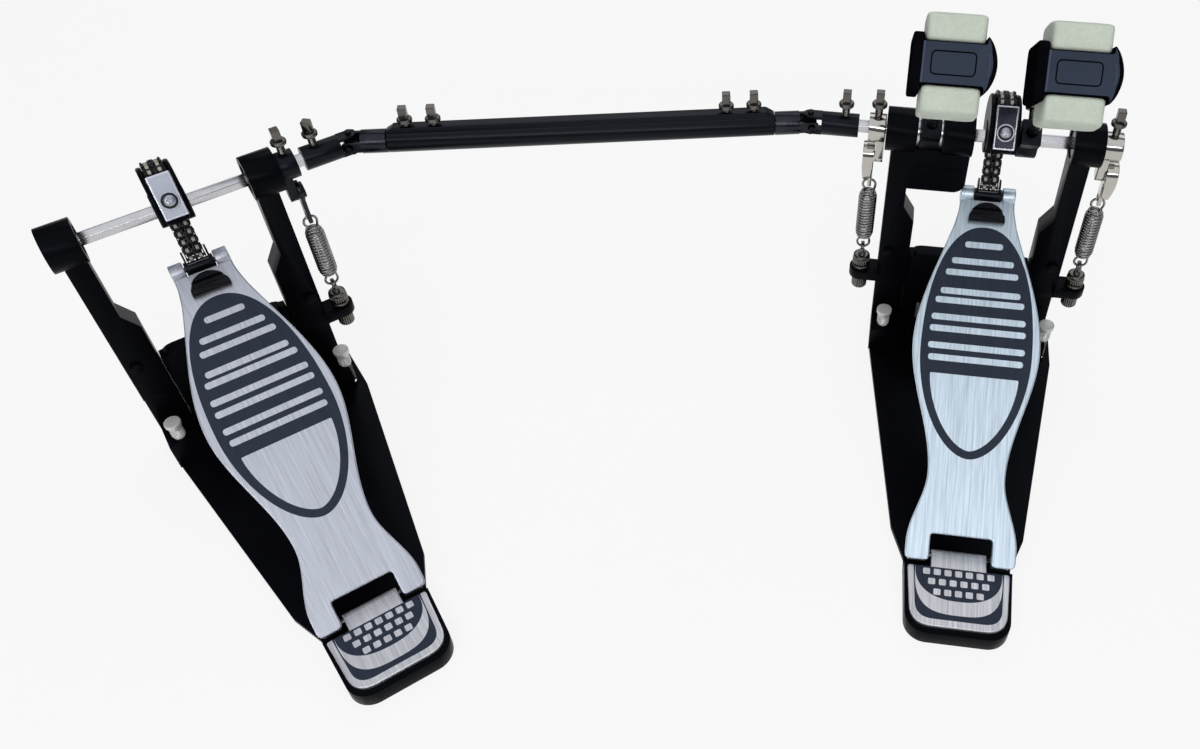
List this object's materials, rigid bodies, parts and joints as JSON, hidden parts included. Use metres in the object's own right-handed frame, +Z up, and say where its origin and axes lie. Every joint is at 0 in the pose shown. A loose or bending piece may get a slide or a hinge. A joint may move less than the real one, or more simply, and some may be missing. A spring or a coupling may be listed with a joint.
{
  "type": "double bass drum pedal",
  "caption": "Double bass drum pedal: main pedal with twin beaters, slave pedal and telescopic drive shaft with universal joints, chain cams and return springs.",
  "frame": {"origin": "on the floor under the main pedal's heel, on its centre line", "axes": "+X along the main pedal's shaft to the player's right, +Y towards the drum, +Z up"},
  "size_m": [0.7212, 0.4361, 0.3737],
  "materials": {
    "black_coat": "satin black powder coat",
    "aluminium": "brushed, with a dark printed grip pattern",
    "steel": "machined",
    "chrome": "polished",
    "felt": "pressed felt",
    "head_plastic": "satin",
    "stop_rubber": "matt"
  },
  "bodies": {
    "main_frame": {"main_base": "black_coat", "main_yoke_post": "black_coat", "main_right_post": "black_coat", "main_heel_plate": "aluminium", "main_bearings": "steel", "main_frame_screws": "steel", "main_spring_adjusters": "steel"},
    "hoop_jaw": {"hoop_clamp_jaw": "black_coat"},
    "main_pedal": {"main_footboard": "aluminium", "main_toe_stop": "stop_rubber"},
    "main_axle": {"main_shaft": "steel", "main_cam": "black_coat", "main_chain_wrap": "steel", "main_chain_plate": "chrome", "main_beater_hub": "black_coat", "main_rocker": "chrome", "main_shaft_bolts": "chrome"},
    "main_chain": {"main_chain_run": "steel"},
    "main_clip": {"main_chain_clip": "black_coat"},
    "main_beater": {"main_beater_rod": "chrome", "main_beater_head": "head_plastic", "main_beater_felts": "felt"},
    "main_spring_swing": {"main_spring": "steel"},
    "main_spring_stretch": {"main_stirrup": "black_coat"},
    "second_axle": {"second_shaft": "steel", "second_beater_hub": "black_coat", "second_rocker": "chrome", "second_shaft_bolts": "chrome", "second_joint_fork": "black_coat"},
    "second_beater": {"second_beater_rod": "chrome", "second_beater_head": "head_plastic", "second_beater_felts": "felt"},
    "second_spring_swing": {"second_spring": "steel"},
    "second_spring_stretch": {"second_stirrup": "black_coat"},
    "drive_shaft": {"drive_tube": "black_coat", "main_stem": "black_coat", "tube_bolts": "chrome"},
    "slave_frame": {"slave_base": "black_coat", "slave_left_post": "black_coat", "slave_right_post": "black_coat", "slave_heel_plate": "aluminium", "slave_bearings": "steel", "slave_spurs": "steel", "slave_spring_adjuster": "steel"},
    "slave_pedal": {"slave_footboard": "aluminium", "slave_toe_stop": "stop_rubber"},
    "slave_axle": {"slave_shaft": "steel", "slave_cam": "black_coat", "slave_chain_wrap": "steel", "slave_chain_plate": "chrome", "slave_rocker": "black_coat", "slave_shaft_bolts": "chrome", "slave_joint_fork": "black_coat"},
    "slave_chain": {"slave_chain_run": "steel"},
    "slave_clip": {"slave_chain_clip": "black_coat"},
    "slave_stem": {"slave_stem": "black_coat"},
    "slave_spring_swing": {"slave_spring": "steel"},
    "slave_spring_stretch": {"slave_stirrup": "black_coat"}
  },
  "joints": [
    {"name": "hoop_jaw_hinge", "type": "hinge", "parent": "main_frame", "child": "hoop_jaw", "pos_m": [-0.0045, 0.2645, 0.015], "axis": [1, 0, 0], "range_deg": [0, 9]},
    {"name": "main_pedal_hinge", "type": "hinge", "parent": "main_frame", "child": "main_pedal", "pos_m": [0, 0.0135, 0.012], "axis": [-1, 0, 0], "range_deg": [0, 5.08], "stiffness_Nm_per_rad": 12, "springref_deg": -20.05},
    {"name": "main_axle_turn", "type": "hinge", "parent": "main_frame", "child": "main_axle", "pos_m": [0, 0.243, 0.215], "axis": [-1, 0, 0], "range_deg": [0, 41.01]},
    {"name": "main_chain_swing", "type": "hinge", "parent": "main_axle", "child": "main_chain", "pos_m": [0, 0.26537, 0.20544], "axis": [1, 0, 0], "range_deg": [0, 68.23]},
    {"name": "main_clip_turn", "type": "hinge", "parent": "main_pedal", "child": "main_clip", "pos_m": [0, 0.24545, 0.15885], "axis": [1, 0, 0], "range_deg": [0, 32.31]},
    {"name": "main_beater_turn", "type": "hinge", "parent": "main_axle", "child": "main_beater", "pos_m": [0.0192, 0.17739, 0.29047], "axis": [0, -0.6561, 0.7547], "range_deg": [-90, 90]},
    {"name": "main_spring_swing", "type": "hinge", "parent": "main_frame", "child": "main_spring_swing", "pos_m": [0.0815, 0.243, 0.097], "axis": [1, 0, 0], "range_deg": [0, 8.97]},
    {"name": "main_spring_stretch", "type": "slide", "parent": "main_spring_swing", "child": "main_spring_stretch", "axis": [0, 0, 1], "range_m": [0, 0.00713], "deforming": ["main_spring"]},
    {"name": "second_axle_turn", "type": "hinge", "parent": "main_frame", "child": "second_axle", "pos_m": [-0.1, 0.243, 0.215], "axis": [-1, 0, 0], "range_deg": [0, 37.59]},
    {"name": "second_beater_turn", "type": "hinge", "parent": "second_axle", "child": "second_beater", "pos_m": [-0.0505, 0.17739, 0.29047], "axis": [0, -0.6561, 0.7547], "range_deg": [-90, 90]},
    {"name": "second_spring_swing", "type": "hinge", "parent": "main_frame", "child": "second_spring_swing", "pos_m": [-0.0905, 0.243, 0.097], "axis": [1, 0, 0], "range_deg": [0, 8.42]},
    {"name": "second_spring_stretch", "type": "slide", "parent": "second_spring_swing", "child": "second_spring_stretch", "axis": [0, 0, 1], "range_m": [0, 0.00607], "deforming": ["second_spring"]},
    {"name": "drive_shaft_turn", "type": "hinge", "parent": "main_frame", "child": "drive_shaft", "pos_m": [-0.138, 0.243, 0.215], "axis": [-0.9781, -0.2079, 0], "range_deg": [0, 36.98]},
    {"name": "drive_shaft_length", "type": "slide", "parent": "main_frame", "child": "slave_frame", "axis": [-0.9781, -0.2079, 0], "range_m": [0, 0.06]},
    {"name": "slave_pedal_hinge", "type": "hinge", "parent": "slave_frame", "child": "slave_pedal", "pos_m": [-0.40552, -0.08197, 0.012], "axis": [-0.7431, -0.6691, 0], "range_deg": [0, 5.08], "stiffness_Nm_per_rad": 12, "springref_deg": -20.05},
    {"name": "slave_axle_turn", "type": "hinge", "parent": "slave_frame", "child": "slave_axle", "pos_m": [-0.55908, 0.08858, 0.215], "axis": [-0.7431, -0.6691, 0], "range_deg": [0, 41.01]},
    {"name": "slave_chain_swing", "type": "hinge", "parent": "slave_axle", "child": "slave_chain", "pos_m": [-0.57405, 0.1052, 0.20544], "axis": [0.7431, 0.6691, 0], "range_deg": [0, 68.23]},
    {"name": "slave_clip_turn", "type": "hinge", "parent": "slave_pedal", "child": "slave_clip", "pos_m": [-0.56072, 0.0904, 0.15885], "axis": [0.7431, 0.6691, 0], "range_deg": [0, 32.31]},
    {"name": "slave_stem_turn", "type": "hinge", "parent": "slave_frame", "child": "slave_stem", "pos_m": [-0.4647, 0.17356, 0.215], "axis": [-0.9781, -0.2079, 0], "range_deg": [0, 36.98]},
    {"name": "slave_spring_swing", "type": "hinge", "parent": "slave_frame", "child": "slave_spring_swing", "pos_m": [-0.49851, 0.14311, 0.097], "axis": [0.7431, 0.6691, 0], "range_deg": [0, 8.97]},
    {"name": "slave_spring_stretch", "type": "slide", "parent": "slave_spring_swing", "child": "slave_spring_stretch", "axis": [0, 0, 1], "range_m": [0, 0.00713], "deforming": ["slave_spring"]}
  ],
  "couplings": [
    {"joint": "main_axle_turn", "follows": "main_pedal_hinge", "ratio": 8.0671},
    {"joint": "main_chain_swing", "follows": "main_pedal_hinge", "ratio": 13.422},
    {"joint": "main_clip_turn", "follows": "main_pedal_hinge", "ratio": 6.3548},
    {"joint": "main_spring_swing", "follows": "main_pedal_hinge", "ratio": 1.7626},
    {"joint": "main_spring_stretch", "follows": "main_pedal_hinge", "m_per_rad": 0.080271},
    {"joint": "second_axle_turn", "follows": "slave_pedal_hinge", "ratio": 7.3942},
    {"joint": "second_spring_swing", "follows": "slave_pedal_hinge", "ratio": 1.6551},
    {"joint": "second_spring_stretch", "follows": "slave_pedal_hinge", "m_per_rad": 0.068275},
    {"joint": "drive_shaft_turn", "follows": "slave_pedal_hinge", "ratio": 7.2741},
    {"joint": "slave_axle_turn", "follows": "slave_pedal_hinge", "ratio": 8.0671},
    {"joint": "slave_chain_swing", "follows": "slave_pedal_hinge", "ratio": 13.422},
    {"joint": "slave_clip_turn", "follows": "slave_pedal_hinge", "ratio": 6.3548},
    {"joint": "slave_stem_turn", "follows": "slave_pedal_hinge", "ratio": 7.2741},
    {"joint": "slave_spring_swing", "follows": "slave_pedal_hinge", "ratio": 1.7626},
    {"joint": "slave_spring_stretch", "follows": "slave_pedal_hinge", "m_per_rad": 0.080271}
  ]
}
